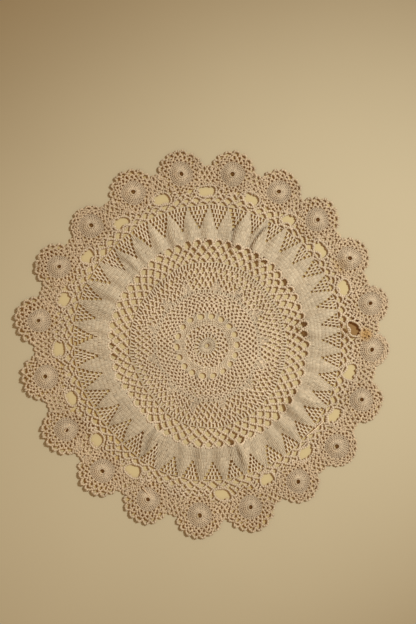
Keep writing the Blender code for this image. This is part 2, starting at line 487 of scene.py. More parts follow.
@dataclass(frozen=True)
class Lie:
    """How the crochet was pulled out on the table: its uneven outline and its puckers."""

    centre_x: float = 5.275
    centre_y: float = -1.436
    no_pull_radius: float = 30.0
    full_pull_radius: float = 80.0
    edge_radius: float = 142.0
    oval: float = 2.1
    lift: float = 3.4
    ruffle_height: float = 2.7
    ruffle_least: float = 0.65
    ruffle_waves: tuple[Wave, ...] = (
        Wave(size=0.22, count=7.0, phase=0.8),
        Wave(size=0.13, count=17.0),
    )
    ruffle_foot: float = 7.0
    crease_flattens: float = 0.95
    crease_shoulder_width: float = 2.6
    creases: tuple[Crease, ...] = (
        Crease(direction=65.2, half_width=0.9, lean=-4.0),
        Crease(direction=76.6, half_width=1.1, lean=-0.5),
        Crease(direction=123.5, half_width=1.6, depth=0.35),
        Crease(direction=134.8, half_width=1.6, lean=2.0, depth=0.45),
        Crease(direction=238.3, half_width=1.9, lean=1.5, depth=0.8),
        Crease(direction=285.6, half_width=2.0, depth=0.8),
    )
    crease_shoulder: float = 2.4
    # Painted shade: how much darker the yarn is painted in a fold.
    crease_painted_shade: float = -2.2
    rises: tuple[Rise, ...] = (
        Rise(10.0, radius=106.0, height=3.2, spread=12.0),
        Rise(39.0, radius=108.0, height=1.8, spread=8.0),
        Rise(59.0, radius=108.0, height=2.6, spread=8.0),
        Rise(74.0, radius=109.0, height=2.4, spread=8.0),
        Rise(88.0, radius=109.0, height=2.0, spread=8.0),
        Rise(97.0, radius=106.0, height=1.2, spread=10.0),
        Rise(183.0, radius=103.0, height=2.4, spread=10.0),
        Rise(238.0, radius=108.0, height=1.6, spread=10.0),
        Rise(287.0, radius=108.0, height=2.8, spread=11.0),
        Rise(327.0, radius=109.0, height=2.4, spread=10.0),
        Rise(7.5, radius=151.0, height=3.6, spread=9.0),
        Rise(215.0, radius=150.0, height=2.2, spread=10.0),
    )
    curl_height: float = 2.2
    curl_from: float = 178.0
    curl_to: float = 203.0
    curl_direction: float = 190.0
    curl_spread: float = 70.0
    turn_shift: float = 3.4
    turn_swing: float = 5.2
    turn_direction: float = -49.5
    turn_from: float = 45.0
    turn_to: float = 100.0
    slacks: tuple[Slack, ...] = (
        Slack(direction=221.0, spread=24.0, pull=-5.2),
        Slack(direction=133.0, spread=19.0, pull=-2.7),
        Slack(direction=168.0, spread=55.0, pull=-1.2, radius=82.0, depth=16.0),
        Slack(direction=148.0, spread=45.0, pull=-1.9, radius=107.0, depth=12.0),
        Slack(direction=222.0, spread=42.0, pull=-3.5, radius=107.0, depth=12.0),
    )
    waver: float = 0.8
    wavers: tuple[Waver, Waver] = (
        Waver(bend=1.3, along=6.1, bend_length=9.7, across=4.3, slant=13.0),
        Waver(bend=1.1, along=5.7, bend_length=8.9, across=4.9, slant=-11.0),
    )

    def blocked(self, radius: np.ndarray, angle: np.ndarray) -> np.ndarray:
        """Give the radius to which a true round is pulled in each direction.

        Args:
            radius: Radius of the round as worked.
            angle: Direction in degrees.

        Returns:
            The radius at which it lies.
        """
        turn = np.radians(angle)
        pull = self.lift * (radius / self.edge_radius) ** 2 * np.sin(turn)
        pull = pull - self.oval * np.cos(2.0 * turn)
        for slack in self.slacks:
            near = np.exp(-(((radius - slack.radius) / slack.depth) ** 2))
            pull = pull + slack.pull * near * bell(angle, slack.direction, slack.spread)
        return radius + eased(radius, self.no_pull_radius, self.full_pull_radius) * pull

    def settled(self, radius: np.ndarray, angle: np.ndarray) -> np.ndarray:
        """Give the direction in which a place lies, once the cloth was stretched out unevenly."""
        swing = self.turn_swing * np.cos(np.radians(angle - self.turn_direction))
        return angle + self.turn_shift + eased(radius, self.turn_from, self.turn_to) * swing

    def ruffle(self, radius: np.ndarray, angle: np.ndarray) -> np.ndarray:
        """Give how far the wedge band stands off the table.

        Args:
            radius: Radius of the round as worked.
            angle: Direction as worked, in degrees.

        Returns:
            The height in millimetres.
        """
        foot = eased(radius, BAND_INNER - self.ruffle_foot, BAND_INNER + self.ruffle_foot)
        rise = foot * (1.0 - eased(radius, BAND_OUTER - 2.0 * self.ruffle_foot, BAND_OUTER))
        turn = np.radians(angle)
        uneven = self.ruffle_least
        for wave in self.ruffle_waves:
            uneven = uneven + wave.size * np.sin(wave.count * turn + wave.phase)
        pucker = 0.5 + 0.5 * np.cos(turn * WEDGES)
        shoulders = 0.0
        lain = self.settled(radius, angle)
        for crease in self.creases:
            narrow = crease.near(radius, lain)
            pucker = pucker * (1.0 - self.crease_flattens * crease.depth * narrow)
            wide = crease.near(radius, lain, self.crease_shoulder_width)
            shoulders = shoulders + self.crease_shoulder * crease.depth * (wide - narrow)
        return rise * (self.ruffle_height * uneven * pucker + shoulders)

    def painted_fold_shade(self, radius: float, angle: np.ndarray) -> np.ndarray:
        """Give the painted shade that darkens the yarn in the folds of the wedge band.

        Args:
            radius: Radius of the round as worked.
            angle: Direction as worked, in degrees.

        Returns:
            The tone of the painted shade, below 0 in a fold.
        """
        lain = self.settled(radius, angle)
        shade = sum(crease.depth * crease.near(radius, lain) for crease in self.creases)
        return self.crease_painted_shade * shade

    def lifted(self, flat: np.ndarray) -> np.ndarray:
        """Give how far a place stands off the table by the loose rises and the curled edge.

        Args:
            flat: X and Y in millimetres, one row each.

        Returns:
            The height in millimetres.
        """
        x, y = flat[..., 0] - self.centre_x, flat[..., 1] - self.centre_y
        out, lain = np.hypot(x, y), np.degrees(np.arctan2(y, x))
        curl = bell(lain, self.curl_direction, self.curl_spread)
        height = self.curl_height * curl * eased(out, self.curl_from, self.curl_to)
        for rise in self.rises:
            turn = math.radians(rise.direction)
            off_x, off_y = x - rise.radius * math.cos(turn), y - rise.radius * math.sin(turn)
            height = height + rise.height * np.exp(-(off_x**2 + off_y**2) / rise.spread**2)
        return height

    def waved(self, flat: np.ndarray) -> np.ndarray:
        """Shift points a little, as no hand-made round is even.

        Args:
            flat: X and Y in millimetres, one row each.

        Returns:
            The shifted X and Y.
        """
        shifts = []
        for axis, waver in enumerate(self.wavers):
            along, across = flat[..., axis], flat[..., 1 - axis]
            bend = waver.bend * np.sin(across / waver.bend_length)
            slant = np.sin(across / waver.across + along / waver.slant)
            shifts.append(np.sin(along / waver.along + bend) + slant)
        return flat + 0.5 * self.waver * np.stack(shifts, axis=-1)

    def spot(self, distance: np.ndarray | float, lain: np.ndarray | float) -> np.ndarray:
        """Give the place at a distance and direction from the middle of the crochet.

        Args:
            distance: Distance as it lies.
            lain: Direction as it lies, in degrees.

        Returns:
            X and Y in millimetres, one row each.
        """
        turn = np.radians(lain)
        flat = np.stack([distance * np.cos(turn), distance * np.sin(turn)], axis=-1)
        return flat + np.array((self.centre_x, self.centre_y))

    def laid(self, flat: np.ndarray, height: np.ndarray | float) -> np.ndarray:
        """Give points in millimetres of the cloth as it lies, waved and lifted."""
        lift = self.lifted(flat) + height
        return np.concatenate([self.waved(flat), lift[..., None]], axis=-1)

    def at(self, radius: np.ndarray, angle: np.ndarray, height: float) -> np.ndarray:
        """Give points of the worked centre.

        Args:
            radius: Radius of the round as worked.
            angle: Direction in degrees.
            height: Height above the underside of the cloth.

        Returns:
            Points in millimetres, one row each.
        """
        radius, angle = np.broadcast_arrays(np.asarray(radius, float), np.asarray(angle, float))
        lain = self.settled(radius, angle)
        flat = self.spot(self.blocked(radius, lain), lain)
        return self.laid(flat, self.ruffle(radius, angle) + height)


# ---------------------------------------------------------------------------------------------
# The worked centre
# ---------------------------------------------------------------------------------------------


class RoundKind(Enum):
    """The ways in which a round is worked."""

    POSTS = "posts"
    LOOPS = "loops"
    CORDS = "cords"
    EYELETS = "eyelets"
    WEDGES = "wedges"


@dataclass(frozen=True)
class Round:
    """One round of the chart, which starts where the last one ended.

    A round of posts has one hole and then some posts in each repeat. A round of loops has one
    chain loop in each, whose legs stand side by side where pinch is given. A round of cords has
    as many chains as posts, laid side by side, with as many waves as repeats. A round of eyelets
    has one rimmed hole and then some posts in each repeat. A round of wedges has a dense wedge in
    each repeat, with some holes side by side between two wedges. The wider triangles of net have
    one hole more, so the holes may start from a number below 0. A star round leaves out the loops
    that the dense points of the star take up, and a joining round has loops only between motifs.
    """

    outer: float
    kind: RoundKind
    repeats: int
    posts: int = 1
    hole: float = 0.0
    holes: int = 0
    phase: float = 0.0
    star: bool = False
    joining: bool = False
    capped: bool = False
    width: float = 2.2
    roundness: float = 2.0
    pinch: float = 0.0
    uneven: float = 1.0
    tone: float = 0.0

    @property
    def pitch(self) -> float:
        """Degrees from one repeat to the next."""
        return FULL_TURN / self.repeats

    @property
    def starts(self) -> np.ndarray:
        """Directions in degrees at which its repeats start."""
        return (np.arange(self.repeats) + self.phase) * self.pitch


@dataclass(frozen=True)
class Stretch:
    """A stretch of directions, in degrees."""

    start: float
    end: float


@dataclass(frozen=True)
class StarPoint:
    """One dense point of the star in the fine net."""

    direction: float
    half_width: float
    length: float


ROSETTE_CHART = (
    Round(outer=8.4, kind=RoundKind.POSTS, repeats=26),
    Round(outer=13.0, kind=RoundKind.POSTS, repeats=19, hole=0.5),
    Round(outer=16.5, kind=RoundKind.LOOPS, repeats=21, phase=0.5),
    Round(outer=19.9, kind=RoundKind.LOOPS, repeats=22),
    Round(outer=23.2, kind=RoundKind.LOOPS, repeats=22, phase=0.5, capped=True),
    Round(outer=28.2, kind=RoundKind.CORDS, repeats=18, phase=0.43, posts=3),
    Round(
        outer=35.0, kind=RoundKind.EYELETS, repeats=18, posts=3, hole=0.6, phase=0.93, width=1.9
    ),
)
NET_CHART = (
    Round(outer=38.6, kind=RoundKind.LOOPS, repeats=56),
    Round(outer=41.9, kind=RoundKind.LOOPS, repeats=56, phase=0.5),
    Round(outer=45.2, kind=RoundKind.LOOPS, repeats=56),
    Round(outer=48.4, kind=RoundKind.LOOPS, repeats=58, phase=0.5),
    Round(outer=51.6, kind=RoundKind.LOOPS, repeats=58),
    Round(outer=54.8, kind=RoundKind.LOOPS, repeats=60, phase=0.5, capped=True),
    Round(outer=57.8, kind=RoundKind.POSTS, repeats=70, posts=2, hole=0.2),
    Round(outer=61.6, kind=RoundKind.LOOPS, repeats=68, star=True, pinch=0.7),
    Round(outer=66.3, kind=RoundKind.LOOPS, repeats=68, phase=0.5, star=True, pinch=0.66),
    Round(outer=71.0, kind=RoundKind.LOOPS, repeats=72, star=True, pinch=0.66),
    Round(outer=75.6, kind=RoundKind.LOOPS, repeats=80, phase=0.5, pinch=0.68),
    Round(outer=80.4, kind=RoundKind.LOOPS, repeats=80, pinch=0.68),
    Round(outer=84.6, kind=RoundKind.POSTS, repeats=156, hole=0.44),
)
MESH_ROUND = Round(
    outer=91.0, kind=RoundKind.LOOPS, repeats=60, width=2.9, roundness=1.7, tone=-0.4
)
MESH_CHART = (
    MESH_ROUND,
    replace(MESH_ROUND, outer=97.0, phase=0.5),
    replace(MESH_ROUND, outer=103.0),
    Round(outer=108.8, kind=RoundKind.LOOPS, repeats=60, phase=0.5, width=2.7, pinch=0.74),
)
WEDGE_EDGES = (111.4, 114.7, 118.3, 122.0, 125.9, 129.9, 133.9, 138.0, 142.2)
WEDGE_CHART = tuple(
    Round(outer, RoundKind.WEDGES, repeats=WEDGES, holes=holes)
    for holes, outer in enumerate(WEDGE_EDGES, -3)
)
WIDER_TRIANGLES = (Stretch(start=84.0, end=142.0), Stretch(start=178.0, end=252.0))
LONG_ROUND = Round(
    outer=146.8, kind=RoundKind.LOOPS, repeats=80, width=2.7, uneven=1.6, tone=-1.0
)
JOINING_ROUND = replace(LONG_ROUND, outer=155.4, repeats=152, width=2.5, uneven=2.0, joining=True)
BORDER_CHART = (
    LONG_ROUND,
    replace(LONG_ROUND, outer=151.4, phase=0.5),
    JOINING_ROUND,
    replace(JOINING_ROUND, outer=159.4, repeats=160, phase=0.5),
    replace(JOINING_ROUND, outer=163.4, repeats=168),
)
CENTRE_CHARTS = {
    "rosette": ROSETTE_CHART,
    "fine_net": NET_CHART,
    "open_mesh": MESH_CHART,
    "wedge_band_inner": WEDGE_CHART[:-3],
    "wedge_band_outer": WEDGE_CHART[-3:],
    "border_net": BORDER_CHART,
}
BELL_SPREAD = (0.0, 0.35, 0.8, 0.94, 1.04, 1.2, 1.55)
BELL_HEIGHT = (1.0, 0.97, 0.82, 0.6, 0.3, 0.1, 0.0)
BELL_SHARES = np.linspace(0.0, 1.0, len(BELL_SPREAD))
STAR_POINTS = (
    StarPoint(5.0, half_width=6.5, length=13.0),
    StarPoint(32.0, half_width=7.0, length=13.0),
    StarPoint(59.0, half_width=6.5, length=14.0),
    StarPoint(81.0, half_width=7.0, length=12.0),
    StarPoint(110.0, half_width=6.0, length=13.0),
    StarPoint(134.0, half_width=6.5, length=13.0),
    StarPoint(162.0, half_width=7.0, length=13.0),
    StarPoint(193.0, half_width=6.5, length=12.0),
    StarPoint(230.0, half_width=7.0, length=13.0),
    StarPoint(258.0, half_width=6.5, length=13.0),
    StarPoint(285.0, half_width=6.0, length=12.0),
    StarPoint(316.0, half_width=7.0, length=13.0),
    StarPoint(341.0, half_width=6.5, length=13.0),
)


@dataclass(frozen=True)
class ThreadTail:
    """A loose end of thread that lies on the cloth, from one place in millimetres to another."""

    start: tuple[float, float]
    end: tuple[float, float]
    height: float = 2.9
    bow: float = 0.5
    points: int = 7

    def lay(self, work: Work) -> None:
        """Lay it down.

        Args:
            work: The stretch it belongs to.
        """
        share = np.linspace(0.0, 1.0, self.points)[:, None]
        ends = np.array((self.start, self.end))
        run = ends[1] - ends[0]
        aside = self.bow * np.sin(math.pi * share) * np.array((-run[1], run[0])) / np.hypot(*run)
        height = np.full((self.points, 1), self.height)
        line = np.hstack([ends[0] + share * run + aside, height])
        work.chain(line, stitch_length=2.0, width=1.2, thickness=1.1, tone=4.6)


FIRST_CENTRE_SEED = 11
BORDER_TAIL = ThreadTail(start=(127.1, -80.2), end=(109.2, -95.9))
MOTIF_TAILS = {
    13: ThreadTail(start=(-62.6, -149.8), end=(-53.7, -160.1)),
    15: ThreadTail(start=(-143.6, -91.0), end=(-138.6, -83.0)),
}


@dataclass
class WorkedCentre:
    """The one piece of crochet inside the border: rosette, nets, wedge band and long loops."""

    lie: Lie
    moulds: dict[StitchKind, Stitch]
    ring_radius: float = 2.9
    ring_edge: float = 3.7
    post_overlap: float = 1.15
    post_thickness: float = 1.5
    post_height: float = 1.0
    cord_tone: float = 0.8
    star_tone: float = 2.0
    star_uneven: float = 2.0
    dense_tone: float = -0.35
    row_waver: float = 0.3
    bar_tone: float = -0.6
    bar_width: float = 1.85
    bar_thickness: float = 1.9
    bar_height: float = 1.1
    bar_waver: float = 0.22
    ridge_width: float = 1.35
    ridge_thickness: float = 1.3
    ridge_height: float = 1.25
    ridge_link: float = 2.1
    cord_link: float = 2.6
    cord_overlap: float = 1.3
    cord_thickness: float = 1.6
    petal_wave: float = 0.5
    eyelet_height: float = 3.7
    eyelet_points: int = 24
    eyelet_post_overlap: float = 1.2
    chain_link: float = 2.3
    chain_thickness: float = 1.95
    chain_height: float = 1.15
    loop_unevenness: tuple[float, float, float] = (0.08, 0.07, 0.22)
    pinched_points: int = 17
    star_base: float = 57.2
    star_row: float = 2.35
    star_inset: float = 0.8
    star_pitch: float = 1.3
    star_post_width: float = 0.98
    star_link_width: float = 1.0
    star_link_thickness: float = 1.1
    wedge_hole: float = 1.42
    wedge_post: float = 1.5
    wedge_overlap: float = 1.5
    dense_waver: float = 0.05
    netted_waver: float = 0.13
    arch_posts: int = 3
    arch_post_width: float = 1.8
    arch_foot_share: float = 0.26
    arch_reach: float = 0.6
    motif_circle: float = 20.5
    opening_drop: float = 19.6
    opening_half_width: float = 8.3
    opening_half_height: float = 6.4
    opening_power: float = 2.5
    opening_clearance: float = 1.5
    opening_skew: float = 0.3
    skew_step: float = 2.1
    opening_points: int = 40
    rim_outset: float = 0.7
    rim_waves: tuple[Wave, ...] = (
        Wave(size=0.08, count=2.0, phase=1.7),
        Wave(size=0.06, count=3.0, phase=-2.3),
    )
    rim_width: float = 2.4
    rim_height: float = 1.35
    rim_tone: float = -1.0
    work: Work = field(init=False)
    pieces: list[bpy.types.Object] = field(default_factory=list)

    def ridge(self, radius: float, tone: float = 0.1) -> None:
        """Lay the closed chain that tops a round.

        Args:
            radius: Radius of the round as worked.
            tone: How much lighter the yarn is.
        """
        angle = spaced(radius, self.ridge_link)
        jolt = 0.0
        if BAND_INNER < radius < BAND_OUTER:
            # In the wedge band the folds also get painted shade.
            tone = tone + self.lie.painted_fold_shade(radius, angle)
            jolt = self.work.random.normal(0.0, self.row_waver, len(angle))
        line = self.lie.at(radius + jolt, angle, self.ridge_height)
        self.work.ring(line, self.ridge_width, self.ridge_thickness, tone)

    def posts(
        self,
        inner: float,
        outer: float,
        angle: np.ndarray,
        width: float,
        tone: np.ndarray | float = 0.0,
    ) -> None:
        """Lay a post at each angle between two rounds.

        Args:
            inner: Radius at which they start.
            outer: Radius at which they end.
            angle: Their directions in degrees.
            width: Their width.
            tone: How much lighter the yarn is.
        """
        height, thickness = self.post_height, self.post_thickness
        starts, ends = self.lie.at(inner, angle, height), self.lie.at(outer, angle, height)
        self.work.lay(StitchKind.POST, starts, ends, width, thickness, tone)

    def bars(self, inner: float, outer: float, angle: np.ndarray) -> None:
        """Lay a thick post, wider at its ends, at each angle between two rounds of holes.

        Args:
            inner: Radius at which they start.
            outer: Radius at which they end.
            angle: Their directions in degrees.
        """
        lean = np.degrees(self.work.random.normal(0.0, self.bar_waver, angle.shape) / outer)
        starts = self.lie.at(inner, angle - lean, self.bar_height)
        ends = self.lie.at(outer, angle + lean, self.bar_height)
        width, thickness = self.bar_width, self.bar_thickness
        self.work.lay(StitchKind.BAR, starts, ends, width, thickness, self.bar_tone)

    def cords(self, inner: float, row: Round) -> None:
        """Lay a band of chains side by side, waved as petals.

        Args:
            inner: Radius at which the band starts.
            row: The round.
        """
        step = (row.outer - inner) / row.posts
        for index in range(row.posts):
            middle = inner + (index + 0.5) * step
            angle = spaced(middle, self.cord_link)
            wave = np.cos(math.tau * (angle * row.repeats / FULL_TURN - row.phase))
            line = self.lie.at(middle + self.petal_wave * wave, angle, self.ridge_height)
            self.work.ring(line, step * self.cord_overlap, self.cord_thickness, self.cord_tone)

    def post_round(self, inner: float, row: Round) -> None:
        """Lay one round of posts with its holes, and its ridge.

        Args:
            inner: Radius at which it starts.
            row: The round.
        """
        step = row.pitch * (1.0 - row.hole) / row.posts
        width = np.radians(step) * (inner + row.outer) / 2.0 * self.post_overlap
        for index in range(row.posts):
            angle = row.starts + row.pitch * row.hole / 2.0 + (index + 0.5) * step
            if row.hole and row.posts == 1:
                self.bars(inner, row.outer, angle)
            else:
                self.posts(inner, row.outer, angle, width)
        self.ridge(row.outer)

    def eyelets(self, inner: float, row: Round) -> None:
        """Lay a band of posts with round holes, each rimmed by a chain.

        Args:
            inner: Radius at which it starts.
            row: The round.
        """
        middle = (inner + row.outer) / 2.0
        half_hole = row.hole * row.pitch / 2.0
        step = row.pitch * (1.0 - row.hole) / row.posts
        width = np.radians(step) * middle * self.eyelet_post_overlap
        wide = half_hole + math.degrees(row.width / 2.0 / middle)
        turn = np.linspace(0.0, math.tau, self.eyelet_points + 1)[:-1]
        radius = middle + self.eyelet_height * np.sin(turn)
        for start in row.starts:
            line = self.lie.at(radius, start + wide * np.cos(turn), self.chain_height)
            self.work.chain(line, self.chain_link, row.width, self.chain_thickness, closed=True)
            angle = start + half_hole + (np.arange(row.posts) + 0.5) * step
            self.posts(inner, row.outer, angle, width)

    def in_star(self, radius: float, angle: float) -> bool:
        """Tell whether a place lies under a dense point of the star.

        Args:
            radius: Radius as worked.
            angle: Direction in degrees.

        Returns:
            True inside a point.
        """
        lain = float(self.lie.settled(radius, angle))
        for point in STAR_POINTS:
            share = 1.0 - (radius - self.star_base) / point.length
            off = abs(math.radians(turned(lain - point.direction))) * radius
            if off < point.half_width * share - self.star_inset:
                return True
        return False

    def loop(self, low: float, row: Round, start: float) -> None:
        """Lay one chain loop, from its anchor up and over to the next anchor.

        Args:
            low: Radius of the anchors.
            row: The round that it belongs to.
            start: Direction of its first anchor in degrees.
        """
        jolt = row.uneven * self.work.random.normal(0.0, self.loop_unevenness, 3)
        if row.pinch:
            side = np.linspace(-1.0, 1.0, self.pinched_points)
            spread = np.interp(np.abs(side), BELL_SHARES, BELL_SPREAD)
            bow = np.interp(np.abs(side), BELL_SHARES, BELL_HEIGHT)
            share = 0.5 + 0.5 * np.sign(side) * np.minimum(spread * row.pinch, 1.0)
        else:
            share = np.linspace(0.0, 1.0, LOOP_POINTS)
            bow = arched(share, row.roundness)
        radius = low + (row.outer - low) * bow * (1.0 + jolt[0])
        angle = start + (share + jolt[1] * bow) * row.pitch
        line = self.lie.at(radius, angle, 0.0)
        line[:, 2] += self.chain_height + abs(jolt[2]) * bow
        self.work.chain(line, self.chain_link, row.width, self.chain_thickness, tone=row.tone)

    def loop_round(self, inner: float, row: Round) -> None:
        """Lay a round of chain loops.

        Args:
            inner: Radius at which it starts.
            row: The round.
        """
        for start in row.starts:
            place = ((inner + row.outer) / 2.0, start + row.pitch / 2.0)
            if row.star and self.in_star(*place):
                continue
            if row.joining and not self.is_joining_place(*place):
                continue
            self.loop(inner, row, start)
        if row.capped:
            self.ridge(row.outer)

    def star(self) -> None:
        """Work the dense points of the star, row on row, each narrower than the last."""
        for point in STAR_POINTS:
            rows = int(point.length / self.star_row)
            for row in range(rows):
                inner = self.star_base + row * self.star_row
                outer = inner + self.star_row
                half = point.half_width * (1.0 - row / rows)
                count = max(int(round(2.0 * half / self.star_pitch)), 1)
                off = (np.arange(count) - (count - 1) / 2.0) * self.star_pitch
                swing = self.lie.settled(outer, point.direction) - point.direction
                angle = point.direction - swing + np.degrees(off / outer)
                tone = self.star_tone + self.work.random.normal(0.0, self.star_uneven, count)
                self.posts(inner, outer, angle, self.star_post_width, tone)
                step = np.degrees(self.star_pitch / 2.0 / outer)
                starts = self.lie.at(outer, angle - step, self.ridge_height)
                ends = self.lie.at(outer, angle + step, self.ridge_height)
                width, thickness = self.star_link_width, self.star_link_thickness
                self.work.lay(StitchKind.LINK, starts, ends, width, thickness, tone)

    def arch_feet(self) -> None:
        """Fill in between the arches of the last round, where the dense band starts."""
        arches = MESH_CHART[-1]
        low = (MESH_CHART[-2].outer + arches.outer) / 2.0
        step = self.arch_foot_share * arches.pitch / self.arch_posts
        for index in range(self.arch_posts):
            angle = arches.starts + (index - (self.arch_posts - 1) / 2.0) * step
            self.posts(low, arches.outer + self.arch_reach, angle, self.arch_post_width)

    def wedges(self, inner: float, row: Round) -> None:
        """Lay one row of the wedge band: dense wedges, and net triangles between them.

        Args:
            inner: Radius at which it starts.
            row: The row.
        """
        middle = (inner + row.outer) / 2.0
        dense: list[float] = []
        netted: list[float] = []
        for wedge in row.starts:
            between = float(self.lie.settled(middle, wedge + row.pitch / 2.0)) % FULL_TURN
            wider = any(part.start < between < part.end for part in WIDER_TRIANGLES)
            holes = max(row.holes + int(wider), 0)
            solid = max(row.pitch - holes * self.wedge_hole, 0.0)
            posts = int(round(np.radians(solid) * middle / self.wedge_post))
            step = solid / max(posts, 1)
            dense.extend(wedge + (np.arange(posts) + 0.5) * step - solid / 2.0)
            bars = np.arange(min(posts, 1), holes)
            netted.extend(wedge + solid / 2.0 + bars * self.wedge_hole)
        width = self.wedge_overlap * self.wedge_post
        angle = np.array(dense) + self.work.random.normal(0.0, self.dense_waver, len(dense))
        # The posts in the folds get painted shade.
        tone = self.dense_tone + self.lie.painted_fold_shade(middle, angle)
        self.posts(inner, row.outer, angle, width, tone)
        angle = np.array(netted) + self.work.random.normal(0.0, self.netted_waver, len(netted))
        if len(angle):
            self.bars(inner, row.outer, angle)
        self.ridge(row.outer)

    def is_joining_place(self, radius: float, angle: float) -> bool:
        """Tell whether the net that joins the border covers a place.

        Args:
            radius: Radius as worked.
            angle: Direction in degrees.

        Returns:
            False inside a motif, and in the large opening between two motifs.
        """
        here = self.lie.at(radius, angle, 0.0)[:2]
        for place in MOTIF_PLACES:
            if np.hypot(*(here - place.middle(self.lie))) < self.motif_circle:
                return False
        x, y = here[0] - self.lie.centre_x, here[1] - self.lie.centre_y
        out, lain = math.hypot(x, y), math.degrees(math.atan2(y, x))
        power = self.opening_power
        for _, between, middle in self.openings():
            across = math.radians(turned(lain - between)) * out / self.opening_half_width
            up = (out - middle) / self.opening_half_height
            if abs(across) ** power + abs(up) ** power < self.opening_clearance:
                return False
        return True

    def openings(self) -> list[tuple[int, float, float]]:
        """List the large openings between two motifs.

        Returns:
            Of each, the index of the motif before it, its direction in degrees and its distance.
        """
        found = []
        for index, place in enumerate(MOTIF_PLACES):
            after = MOTIF_PLACES[(index + 1) % len(MOTIF_PLACES)]
            between = place.direction + turned(after.direction - place.direction) / 2.0
            middle = (place.distance + after.distance) / 2.0 - self.opening_drop
            if index + 1 != CLOSED_OPENING_AFTER:
                found.append((index, between, middle))
        return found

    def opening_rims(self) -> None:
        """Lay the chain that rims each large opening between two motifs, and the tail by them."""
        turn = np.linspace(0.0, math.tau, self.opening_points + 1)[:-1]
        power = self.opening_power
        corner = (np.abs(np.cos(turn)) ** power + np.abs(np.sin(turn)) ** power) ** (-1.0 / power)
        for index, between, middle in self.openings():
            uneven = 1.0
            for wave in self.rim_waves:
                uneven = uneven + wave.size * np.cos(wave.count * turn + wave.phase * index)
            up = (self.opening_half_height + self.rim_outset) * uneven * corner * np.sin(turn)
            across = (self.opening_half_width + self.rim_outset) * uneven * corner * np.cos(turn)
            across = across + self.opening_skew * math.sin(self.skew_step * index) * up
            flat = self.lie.spot(middle + up, between + np.degrees(across / middle))
            self.work.chain(
                self.lie.laid(flat, self.rim_height),
                self.chain_link,
                self.rim_width,
                self.chain_thickness,
                closed=True,
                tone=self.rim_tone,
            )
        BORDER_TAIL.lay(self.work)

    def build(self) -> list[bpy.types.Object]:
        """Work the whole centre, round on round.

        Returns:
            Its pieces.
        """
        ways = {
            RoundKind.POSTS: self.post_round,
            RoundKind.LOOPS: self.loop_round,
            RoundKind.CORDS: self.cords,
            RoundKind.EYELETS: self.eyelets,
            RoundKind.WEDGES: self.wedges,
        }
        extras = {
            "fine_net": self.star,
            "open_mesh": self.arch_feet,
            "border_net": self.opening_rims,
        }
        inner = self.ring_edge
        for seed, (name, rounds) in enumerate(CENTRE_CHARTS.items(), FIRST_CENTRE_SEED):
            self.work = Work(self.moulds, seed)
            if not self.pieces:
                self.ridge(self.ring_radius, 0.0)
            for row in rounds:
                ways[row.kind](inner, row)
                inner = row.outer
            if name in extras:
                extras[name]()
            self.pieces.append(self.work.join(name))
        return self.pieces


# ---------------------------------------------------------------------------------------------
# Border motifs
# ---------------------------------------------------------------------------------------------


@dataclass(frozen=True)
class MotifPlace:
    """Where a motif lies, from the middle of the worked centre, and how far its edge reaches."""

    direction: float
    distance: float
    reach: float

    def middle(self, lie: Lie) -> np.ndarray:
        """Give X and Y of its middle, in millimetres."""
        return lie.spot(self.distance, self.direction)


MOTIF_PLACES = (
    MotifPlace(98.6, distance=182.8, reach=25.0),
    MotifPlace(81.5, distance=181.9, reach=25.5),
    MotifPlace(65.0, distance=177.9, reach=24.5),
    MotifPlace(49.0, distance=175.5, reach=24.5),
    MotifPlace(31.7, distance=175.1, reach=22.0),
    MotifPlace(14.5, distance=176.7, reach=20.0),
    MotifPlace(-1.2, distance=172.6, reach=18.5),
    MotifPlace(-19.3, distance=171.5, reach=23.5),
    MotifPlace(-37.7, distance=172.2, reach=21.5),
    MotifPlace(-56.1, distance=171.0, reach=23.0),
    MotifPlace(-75.0, distance=175.0, reach=26.5),
    MotifPlace(-92.6, distance=177.3, reach=25.5),
    MotifPlace(-111.1, distance=172.0, reach=26.5),
    MotifPlace(-129.9, distance=170.7, reach=26.5),
    MotifPlace(-149.3, distance=171.5, reach=26.5),
    MotifPlace(-169.1, distance=171.8, reach=26.5),
    MotifPlace(-188.6, distance=177.9, reach=26.0),
    MotifPlace(-208.1, distance=176.3, reach=25.0),
    MotifPlace(-226.0, distance=175.0, reach=21.5),
    MotifPlace(-244.3, distance=178.2, reach=25.5),
)
CLOSED_OPENING_AFTER = 12


